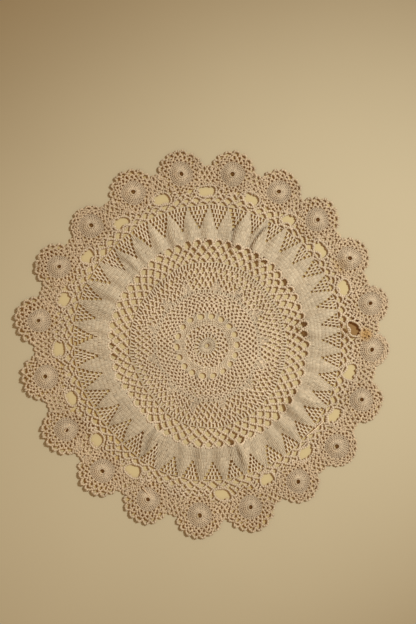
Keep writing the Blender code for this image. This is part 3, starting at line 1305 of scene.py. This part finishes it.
@dataclass
class BorderMotif:
    """One round motif of the border, with loops and picots round a dense disc."""

    number: int
    place: MotifPlace
    before: MotifPlace
    after: MotifPlace
    lie: Lie
    moulds: dict[StitchKind, Stitch]
    hole: float = 3.05
    hole_width: float = 1.8
    hole_tone: float = 0.9
    disc_rows: tuple[float, ...] = (3.6, 5.4, 7.2, 9.0, 10.8, 12.6)
    disc_posts: tuple[int, ...] = (15, 21, 27, 33, 39)
    disc_tones: tuple[float, ...] = (1.2, 0.7, 0.1, -0.2, 0.0)
    disc_widths: tuple[float, ...] = (1.4, 1.2, 1.0, 0.92, 0.88)
    disc_lean: float = 0.06
    disc_height: float = 0.8
    disc_thickness: float = 1.1
    ridge_link: float = 1.65
    ridge_width: float = 1.05
    ridge_thickness: float = 1.3
    ridge_height: float = 1.2
    ridge_lighter: float = 0.8
    loop_rows: tuple[float, ...] = (12.6, 16.5, 20.4)
    loop_roundness: float = 2.6
    loop_unevenness: tuple[float, float, float] = (0.1, 0.1, 0.3)
    picots: float = 25.8
    knot_drop: float = 2.4
    knot_height: float = 1.3
    knot_width: float = 2.3
    knot_thickness: float = 2.0
    knot_tone: float = 0.3
    knot_lean: float = 0.24
    knot_waver: float = 1.6
    full_reach: float = 26.0
    loops: tuple[int, ...] = (18, 22, 17)
    free_side: float = 92.0
    squeezed_side: tuple[float, float] = (75.0, 115.0)
    chain_width: float = 2.45
    chain_thickness: float = 1.85
    chain_height: float = 1.2
    chain_link: float = 2.3
    dome: float = 2.5
    join_row: float = 4.2
    join_loop: float = 5.3
    join_rows: tuple[int, ...] = (-3, -2, -1, 0, 1)
    join_reach: float = 1.1
    join_inset: float = 0.5
    join_overrun: float = 0.3
    join_points: int = 9
    join_unevenness: float = 0.07
    work: Work = field(init=False)

    def at(self, radius: np.ndarray, off: np.ndarray, height: float) -> np.ndarray:
        """Give points of the motif.

        Args:
            radius: Radius as worked.
            off: Degrees round from the direction that points outwards.
            height: Height above the underside of the cloth.

        Returns:
            Points in millimetres, one row each.
        """
        radius, off = np.broadcast_arrays(np.asarray(radius, float), np.asarray(off, float))
        disc = self.disc_rows[-1]
        squeeze = (self.place.reach - disc) / (self.full_reach - disc)
        free = 1.0 - eased(np.abs(turned(off)), *self.squeezed_side)
        share = 1.0 + (squeeze - 1.0) * free
        reach = np.where(radius > disc, disc + (radius - disc) * share, radius)
        turn = np.radians(self.place.direction + off)
        flat = np.stack([reach * np.cos(turn), reach * np.sin(turn)], axis=-1)
        dome = self.dome * (1.0 - eased(radius, 0.0, disc))
        return self.lie.laid(flat + self.place.middle(self.lie), dome + height)

    def ridge(self, radius: float, width: float, tone: float) -> None:
        """Lay the closed chain that tops a round of the motif."""
        line = self.at(radius, spaced(radius, self.ridge_link), self.ridge_height)
        self.work.ring(line, width, self.ridge_thickness, tone)

    def disc(self) -> None:
        """Lay the dense disc: the ring round its hole, and closed rows of posts."""
        self.ridge(self.hole, self.hole_width, self.hole_tone)
        looks = zip(self.disc_posts, self.disc_tones, self.disc_widths)
        for inner, outer, (count, tone, close) in zip(self.disc_rows, self.disc_rows[1:], looks):
            pitch = FULL_TURN / count
            lean = self.disc_lean * pitch
            off = (np.arange(count) + 0.5) * pitch
            off += self.work.random.normal(0.0, lean, count)
            width = math.tau * (inner + outer) / 2.0 / count * close
            starts = self.at(inner, off - lean, self.disc_height)
            ends = self.at(outer, off + lean, self.disc_height)
            self.work.lay(StitchKind.POST, starts, ends, width, self.disc_thickness, tone)
            self.ridge(outer, self.ridge_width, tone + self.ridge_lighter)

    def loop_row(
        self,
        low: float,
        high: float,
        loops: int,
        phase: float,
        limit: float = 181.0,
    ) -> None:
        """Lay a row of chain loops, on the free side only where a limit is given.

        Args:
            low: Radius of the anchors.
            high: Radius of the tops.
            loops: How many loops go round.
            phase: Share of a loop by which the row is turned.
            limit: Loops lie within this many degrees of the free side.
        """
        pitch = FULL_TURN / loops
        share = np.linspace(0.0, 1.0, LOOP_POINTS)
        bow = arched(share, self.loop_roundness)
        for index in range(loops):
            middle = (index + phase + 0.5) * pitch
            if abs(turned(middle)) > limit:
                continue
            jolt = self.work.random.normal(0.0, self.loop_unevenness, 3)
            off = (index + phase + share + jolt[0] * bow) * pitch
            line = self.at(low + (high - low) * bow * (1.0 + jolt[1]), off, 0.0)
            line[:, 2] += self.chain_height + abs(jolt[2]) * bow
            self.work.chain(line, self.chain_link, self.chain_width, self.chain_thickness)

    def picot_row(self) -> None:
        """Lay the outer scallops, each with a picot knot on its top."""
        count = self.loops[-1]
        phase = self.work.random.random()
        top = self.picots - self.knot_drop / 2.0
        self.loop_row(self.loop_rows[-1], top, count, phase, self.free_side)
        pitch = FULL_TURN / count
        tops = (np.arange(count) + phase + 0.5) * pitch
        tops = tops[np.abs(turned(tops)) <= self.free_side]
        tops += self.work.random.normal(0.0, self.knot_waver, tops.shape)
        for side in (-1.0, 1.0):
            lean = self.knot_lean * side * pitch
            starts = self.at(self.picots - self.knot_drop, tops + lean, self.knot_height)
            ends = self.at(self.picots - 0.3, tops + 0.35 * lean, self.knot_height + 0.1)
            width, thickness = self.knot_width, self.knot_thickness
            self.work.lay(StitchKind.LINK, starts, ends, width, thickness, self.knot_tone)

    def join_net(self, other: MotifPlace) -> None:
        """Lay this motif's half of the net that joins it to a neighbour.

        Args:
            other: The place of the neighbour.
        """
        here, there = self.place.middle(self.lie), other.middle(self.lie)
        apart = float(np.hypot(*(there - here)))
        along = (there - here) / apart
        outward = (here + there) / 2.0 - np.array((self.lie.centre_x, self.lie.centre_y))
        outward /= np.hypot(*outward)
        share = np.linspace(0.0, 1.0, self.join_points)
        bow = arched(share, 2.0)
        rim = self.loop_rows[-1] - self.join_inset
        for row in self.join_rows:
            base = row * self.join_row
            half = apart / 2.0 - math.sqrt(rim * rim - base * base)
            loops = max(int(round(2.0 * half / self.join_loop)), 2)
            pitch = 2.0 * half / loops
            shift = 0.5 * (row % 2)
            for index in range(-1, loops + 1):
                middle = -half + (index + 0.5 + shift) * pitch
                if middle > 0.01 or middle < -half - self.join_overrun * pitch:
                    continue
                jolt = self.work.random.normal(0.0, self.join_unevenness, 2)
                across = middle + (share - 0.5 + jolt[0] * bow) * pitch
                up = base + self.join_row * self.join_reach * bow * (1.0 + jolt[1])
                place = here + along * (apart / 2.0)
                flat = place + across[:, None] * along + up[:, None] * outward
                line = self.lie.laid(flat, self.chain_height)
                self.work.chain(line, self.chain_link, self.chain_width, self.chain_thickness)

    def build(self) -> list[bpy.types.Object]:
        """Work the motif as its net and its disc.

        Returns:
            The two pieces.
        """
        self.work = disc = Work(self.moulds, seed=200 + self.number)
        self.disc()
        self.work = Work(self.moulds, seed=100 + self.number)
        for low, high, loops in zip(self.loop_rows, self.loop_rows[1:], self.loops):
            self.loop_row(low, high, loops, self.work.random.random())
        self.picot_row()
        self.join_net(self.before)
        self.join_net(self.after)
        if self.number in MOTIF_TAILS:
            MOTIF_TAILS[self.number].lay(self.work)
        name = f"motif_{self.number:02d}"
        return [self.work.join(name), disc.join(f"{name}_disc")]


# ---------------------------------------------------------------------------------------------
# Finishes
# ---------------------------------------------------------------------------------------------


Colour = tuple[float, float, float]
Socket = bpy.types.NodeSocket
Feed = Socket | float | tuple[float, ...]


class Bench:
    """A new material on which nodes are laid out."""

    def __init__(self, name: str) -> None:
        """Start a material with its shader.

        Args:
            name: Its name.
        """
        self.material = bpy.data.materials.new(name)
        self.material.use_nodes = True
        self.shader = self.material.node_tree.nodes["Principled BSDF"]
        self.place = self.add("ShaderNodeTexCoord", {}).outputs["Object"]

    def feed(self, node: bpy.types.Node, feeds: dict[str | int, Feed]) -> None:
        """Link or set some inputs of a node.

        Args:
            node: The node.
            feeds: What goes into each input: a socket, or a plain value.
        """
        for label, value in feeds.items():
            if isinstance(value, bpy.types.NodeSocket):
                self.material.node_tree.links.new(value, node.inputs[label])
            else:
                node.inputs[label].default_value = value

    def add(self, kind: str, feeds: dict[str | int, Feed], **options: str) -> bpy.types.Node:
        """Add a node.

        Args:
            kind: Its type.
            feeds: What goes into each input: a socket, or a plain value.
            **options: Its options.

        Returns:
            The node.
        """
        node = self.material.node_tree.nodes.new(kind)
        for label, value in options.items():
            setattr(node, label, value)
        self.feed(node, feeds)
        return node

    def mark(self, name: str) -> Socket:
        """Read one of the marks that each stitch carries."""
        return self.add("ShaderNodeAttribute", {}, attribute_name=name).outputs["Fac"]

    def maths(self, operation: str, *values: Feed) -> Socket:
        """Reckon with some values."""
        return self.add("ShaderNodeMath", dict(enumerate(values)), operation=operation).outputs[0]

    def mix(self, share: Feed, first: Feed, second: Feed, blend: str = "MIX") -> Socket:
        """Mix two colours, by the share of the second and the way in which it is laid on."""
        feeds = {0: share, 6: first, 7: second}
        return self.add("ShaderNodeMix", feeds, data_type="RGBA", blend_type=blend).outputs[2]

    def cloud(self, scale: float, detail: float) -> Socket:
        """Make a soft cloud over the object."""
        feeds = {"Scale": scale, "Detail": detail, "Vector": self.place}
        return self.add("ShaderNodeTexNoise", feeds).outputs["Fac"]

    def ramp(
        self,
        value: Feed,
        reads: tuple[float, float],
        gives: tuple[float, float] = (0.0, 1.0),
        kind: str = "SMOOTHSTEP",
    ) -> Socket:
        """Map a range of a value to another.

        Args:
            value: The value.
            reads: From where to where it is read.
            gives: What it gives there.
            kind: How it goes from one to the other.

        Returns:
            The mapped value.
        """
        labels = ("Value", "From Min", "From Max", "To Min", "To Max")
        feeds = dict(zip(labels, (value, *reads, *gives)))
        return self.add("ShaderNodeMapRange", feeds, interpolation_type=kind).outputs["Result"]

    def near(
        self, middle: tuple[float, float, float], full: float, none: float, most: float = 1.0
    ) -> Socket:
        """Tell how near a place is to another.

        Args:
            middle: The other place in millimetres.
            full: Distance within which it counts in full.
            none: Distance at which it no longer counts.
            most: What it gives in full.

        Returns:
            The share, from 0 to most.
        """
        feeds = {0: self.place, 1: tuple(part * MM for part in middle)}
        away = self.add("ShaderNodeVectorMath", feeds, operation="DISTANCE").outputs["Value"]
        return self.ramp(away, (full * MM, none * MM), (most, 0.0))


@dataclass(frozen=True)
class Patch:
    """A round part: full at one distance in millimetres from its middle, gone at the other."""

    x: float
    y: float
    full: float
    none: float
    height: float = 0.0
    strength: float = 1.0

    def share(self, bench: Bench) -> Socket:
        """Tell how much of a place lies in it."""
        return bench.near((self.x, self.y, self.height), self.full, self.none, self.strength)


STAINS = (
    Patch(x=171.6, y=10.9, full=2.22, none=10.36, height=2.0, strength=0.85),
    Patch(x=148.9, y=17.4, full=1.2, none=5.6, height=2.0, strength=0.35),
    Patch(x=145.0, y=82.0, full=2.7, none=12.6, height=2.0, strength=0.25),
)


@dataclass(frozen=True)
class CottonFinish:
    """Unbleached crochet cotton: matt, twisted, a little uneven in colour, and painted darker
    towards the underside of each strand as painted shade.
    """

    name: str
    net: Colour
    close: Colour
    # Painted shade: the darker, browner colour the yarn takes towards its underside, where shade
    # falls between the strands.
    painted_underside_shade: Colour = (0.38, 0.155, 0.022)
    spot: Colour = (0.45, 0.245, 0.075)
    roughness: float = 0.85
    # Heights within the stitch over which the painted shade fades out.
    depth: tuple[float, float] = (0.25, 0.86)
    tone_step: float = 0.09
    cloud_scale: float = 22.0
    cloud_reads: tuple[float, float] = (0.3, 0.7)
    cloud_shades: tuple[float, float] = (0.9, 1.08)
    twist: float = 1.3
    twist_bend: float = 0.6
    bump: float = 0.5
    twist_depth: float = 0.00012

    def build(self) -> bpy.types.Material:
        """Make the material.

        Returns:
            The new material.
        """
        bench = Bench(self.name)
        light = bench.mix(bench.mark("close"), (*self.net, 1.0), (*self.close, 1.0))
        # Painted shade: the yarn goes darker towards its underside, by the height within its
        # stitch.
        deep = bench.ramp(bench.mark("deep"), self.depth)
        base = bench.mix(deep, (*self.painted_underside_shade, 1.0), light)
        tone = bench.maths("MULTIPLY_ADD", bench.mark("tone"), self.tone_step, 1.0)
        cloud = bench.cloud(self.cloud_scale, detail=4.0)
        cloud = bench.ramp(cloud, self.cloud_reads, self.cloud_shades, kind="LINEAR")
        feeds = {0: base, "Scale": bench.maths("MULTIPLY", tone, cloud)}
        colour = bench.add("ShaderNodeVectorMath", feeds, operation="SCALE").outputs["Vector"]
        for stain in STAINS:
            colour = bench.mix(stain.share(bench), colour, (*self.spot, 1.0))
        yarn = bench.add("ShaderNodeUVMap", {}, uv_map="yarn").outputs["UV"]
        feeds = {"Scale": self.twist, "Distortion": self.twist_bend, "Vector": yarn}
        ply = bench.add("ShaderNodeTexWave", feeds, bands_direction="DIAGONAL").outputs["Fac"]
        feeds = {"Strength": self.bump, "Distance": self.twist_depth, "Height": ply}
        normal = bench.add("ShaderNodeBump", feeds).outputs["Normal"]
        feeds = {"Base Color": colour, "Roughness": self.roughness, "Normal": normal}
        bench.feed(bench.shader, {"Specular IOR Level": 0.0, **feeds})
        return bench.material


@dataclass(frozen=True)
class PaperFinish:
    """The plain pale surface that the cloth lies on.

    Light that comes through the cotton is warm, so the surface glows a little under the cloth and
    is painted warmer there: painted light. Under the motif nets and the wedge band it is painted
    darker as painted shade, one opening holds a painted shadow, and far out it is painted lighter
    as painted light.
    """

    covered: tuple[Patch, ...]
    net: tuple[Patch, ...]
    band: tuple[Patch, Patch]
    colour: Colour = (0.511, 0.404, 0.242)
    cloud_shades: tuple[float, float] = (0.96, 1.03)
    # Painted light: the floor under the cloth is painted warmer, for light coming through the
    # cotton.
    warm: Colour = (1.08, 1.066, 0.865)
    # Painted shade: the floor under the motif nets and the wedge band is painted darker and more
    # orange, for the shade in their small holes.
    net_shade: Colour = (0.94, 0.86, 0.62)
    band_shade: Colour = (1.0, 0.95, 0.76)
    # Painted light: the floor under the cloth glows a little, though it is no lamp.
    glow: Colour = (0.028, 0.003, 0.0)
    # Painted shadow: a brown patch on the floor in the opening between motifs 6 and 7.
    mark: Colour = (0.47, 0.34, 0.225)
    painted_shadow_patch: Patch = Patch(x=160.7, y=17.9, full=9.0, none=11.0)
    # Painted light: far from the cloth the floor is painted lighter and bluer, where the key lamp's
    # cone gives out.
    far: Colour = (1.6, 1.78, 2.15)
    far_painted_light_patch: Patch = Patch(x=0.0, y=0.0, full=640.0, none=425.0)
    roughness: float = 0.8
    sheen: float = 0.2

    @staticmethod
    def union(bench: Bench, patches: tuple[Patch, ...]) -> Socket:
        """Tell how much of a place lies in any of some patches.

        Args:
            bench: The material.
            patches: The patches.

        Returns:
            The socket that gives 1 inside one of them and 0 outside.
        """
        inside = patches[0].share(bench)
        for patch in patches[1:]:
            inside = bench.maths("MAXIMUM", inside, patch.share(bench))
        return inside

    def build(self, name: str, warmed: bool) -> bpy.types.Material:
        """Make the material of the paper.

        Args:
            name: Its name.
            warmed: Whether it carries the painted light and shade of the cloth and the lamp.

        Returns:
            The new material.
        """
        bench = Bench(name)
        first, second = ((*(c * shade for c in self.colour), 1.0) for shade in self.cloud_shades)
        colour = bench.mix(bench.cloud(scale=5.0, detail=3.0), first, second)
        feeds = {"Roughness": self.roughness, "Specular IOR Level": self.sheen}
        if warmed:
            under = self.union(bench, self.covered)
            # Painted light and shade on the floor: warmer under the cloth, darker under the nets
            # and the band, a painted shadow in one opening, lighter far out.
            for share, shade in (
                (under, self.warm),
                (self.union(bench, self.net), self.net_shade),
                (bench.maths("MULTIPLY", *(p.share(bench) for p in self.band)), self.band_shade),
                (self.painted_shadow_patch.share(bench), self.mark),
                (self.far_painted_light_patch.share(bench), self.far),
            ):
                colour = bench.mix(share, colour, (*shade, 1.0), blend="MULTIPLY")
            # Painted light: the glow under the cloth.
            feeds |= {"Emission Color": (*self.glow, 1.0), "Emission Strength": under}
        bench.feed(bench.shader, {"Base Color": colour, **feeds})
        return bench.material


# ---------------------------------------------------------------------------------------------
# Studio
# ---------------------------------------------------------------------------------------------


@dataclass
class Studio:
    """Floor, soft light and a camera straight above."""

    frame_width: int = 416
    frame_height: int = 624
    mm_per_pixel: float = 1.05
    crochet_pixel: tuple[float, float] = (207.0, 346.0)
    floor_size: float = 6.0
    covered_edge: tuple[float, float] = (-4.5, 0.5)
    net_edge: tuple[float, float] = (-7.0, -2.5)
    join_patch: tuple[float, float] = (6.5, 11.0)
    floor_height: float = -0.0001
    underside_height: float = -0.01
    lens: float = 50.0
    sensor: float = 36.0
    key_direction: float = 30.0
    key_elevation: float = 45.0
    key_distance: float = 2.6
    key_radius: float = 0.16
    key_cone: float = 21.5
    key_energy: float = 343.0
    key_colour: Colour = (0.780, 0.897, 1.0)
    key_aim: tuple[float, float, float] = (0.072, 0.0, 0.0)
    fill_strength: float = 0.464
    fill_colour: Colour = (1.0, 0.775, 0.53)

    def floor(self, lie: Lie) -> None:
        """Lay the floor under the cloth, with its painted light and shade.

        Args:
            lie: The lie of the cloth, for the parts that it covers.
        """
        middle_x, middle_y = lie.centre_x, lie.centre_y + 0.6 * lie.lift
        # Patches where the floor carries painted light and shade: under the cloth, under the motif
        # nets and under the wedge band.
        covered = [Patch(middle_x, middle_y, full=160.0, none=172.0)]
        net = []
        band = (
            Patch(middle_x, middle_y, full=141.0, none=145.0),
            Patch(middle_x, middle_y, full=114.0, none=110.0),
        )
        for index, motif in enumerate(MOTIF_PLACES):
            here, reach = motif.middle(lie), motif.reach
            full, none = self.covered_edge
            covered.append(Patch(*here, full=reach + full, none=reach + none))
            full, none = self.net_edge
            net.append(Patch(*here, full=reach + full, none=reach + none))
            between = (here + MOTIF_PLACES[index - 1].middle(lie)) / 2.0
            covered.append(Patch(*between, *self.join_patch))
        paper = PaperFinish(tuple(covered), tuple(net), band)
        for name, height, finish in (
            ("floor", self.floor_height, paper.build("pale_surface", warmed=True)),
            (
                "floor_underside",
                self.underside_height,
                paper.build("pale_underside", warmed=False),
            ),
        ):
            deselect_all()
            bpy.ops.mesh.primitive_plane_add(size=self.floor_size, location=(0.0, 0.0, height))
            made = bpy.context.object
            made.name = name
            bpy.ops.object.transform_apply(location=True, rotation=True, scale=True)
            made.data.materials.append(finish)

    def lights(self) -> None:
        """Hang a soft key lamp to the upper right, and a dim warm fill all round."""
        bpy.context.scene.view_settings.view_transform = "Standard"
        turn, rise = math.radians(self.key_direction), math.radians(self.key_elevation)
        key = bpy.data.lights.new("key", "SPOT")
        key.energy = self.key_energy
        key.shadow_soft_size = self.key_radius
        key.spot_size = math.radians(self.key_cone)
        key.spot_blend = 1.0
        key.color = self.key_colour
        lamp = bpy.data.objects.new("key", key)
        aim = Vector(self.key_aim)
        away = (math.cos(rise) * math.cos(turn), math.cos(rise) * math.sin(turn), math.sin(rise))
        lamp.location = aim + self.key_distance * Vector(away)
        lamp.rotation_mode = "QUATERNION"
        lamp.rotation_quaternion = (aim - lamp.location).to_track_quat("-Z", "Y")
        bpy.context.scene.collection.objects.link(lamp)
        world = bpy.data.worlds.new("room")
        world.use_nodes = True
        back = world.node_tree.nodes["Background"]
        back.inputs["Color"].default_value = (*self.fill_colour, 1.0)
        back.inputs["Strength"].default_value = self.fill_strength
        bpy.context.scene.world = world

    def camera(self, lie: Lie) -> None:
        """Set the camera straight above.

        Args:
            lie: The lie of the cloth, for the place of its middle.
        """
        off_x = (self.frame_width / 2.0 - self.crochet_pixel[0]) * self.mm_per_pixel
        off_y = (self.crochet_pixel[1] - self.frame_height / 2.0) * self.mm_per_pixel
        tall = self.frame_height * self.mm_per_pixel * MM
        away = tall / 2.0 / (self.sensor / 2.0 / self.lens)
        data = bpy.data.cameras.new("camera")
        data.lens = self.lens
        data.sensor_width = self.sensor
        made = bpy.data.objects.new("camera", data)
        made.location = ((lie.centre_x + off_x) * MM, (lie.centre_y + off_y) * MM, away)
        bpy.context.scene.collection.objects.link(made)
        bpy.context.scene.camera = made


def dress(
    piece: bpy.types.Object, material: bpy.types.Material, node: str
) -> None:
    """Give a piece its finish, and hang it on the frame in place of a node.

    Args:
        piece: The piece.
        material: Its finish.
        node: The node that it stands for.
    """
    piece.data.materials.append(material)
    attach(piece, BODY)
    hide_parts(node)


def main() -> None:
    """Build the doily and its studio."""
    logging.basicConfig(level=logging.INFO, format="%(name)s: %(message)s")
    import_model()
    lie = Lie()
    studio = Studio()
    studio.camera(lie)
    studio.floor(lie)
    studio.lights()

    moulds = {mould.kind: mould.cast() for mould in STITCH_MOULDS}
    centre_cotton = CottonFinish(
        "cotton_centre", net=(0.685, 0.535, 0.36), close=(0.53, 0.41, 0.265)
    ).build()
    motif_cotton = CottonFinish(
        "cotton_motif", net=(0.58, 0.44, 0.28), close=(0.515, 0.392, 0.252)
    ).build()
    centre = WorkedCentre(lie, moulds)
    for piece in centre.build():
        dress(piece, centre_cotton, CENTRE_NODE)
    net = next(piece for piece in centre.pieces if piece.name == "fine_net")
    for index, place in enumerate(MOTIF_PLACES):
        after = MOTIF_PLACES[(index + 1) % len(MOTIF_PLACES)]
        motif = BorderMotif(index + 1, place, MOTIF_PLACES[index - 1], after, lie, moulds)
        net, disc = motif.build()
        for piece in (net, disc):
            dress(piece, motif_cotton, f"border_motif_{index + 1:02d}")


if __name__ == "__main__":
    main()
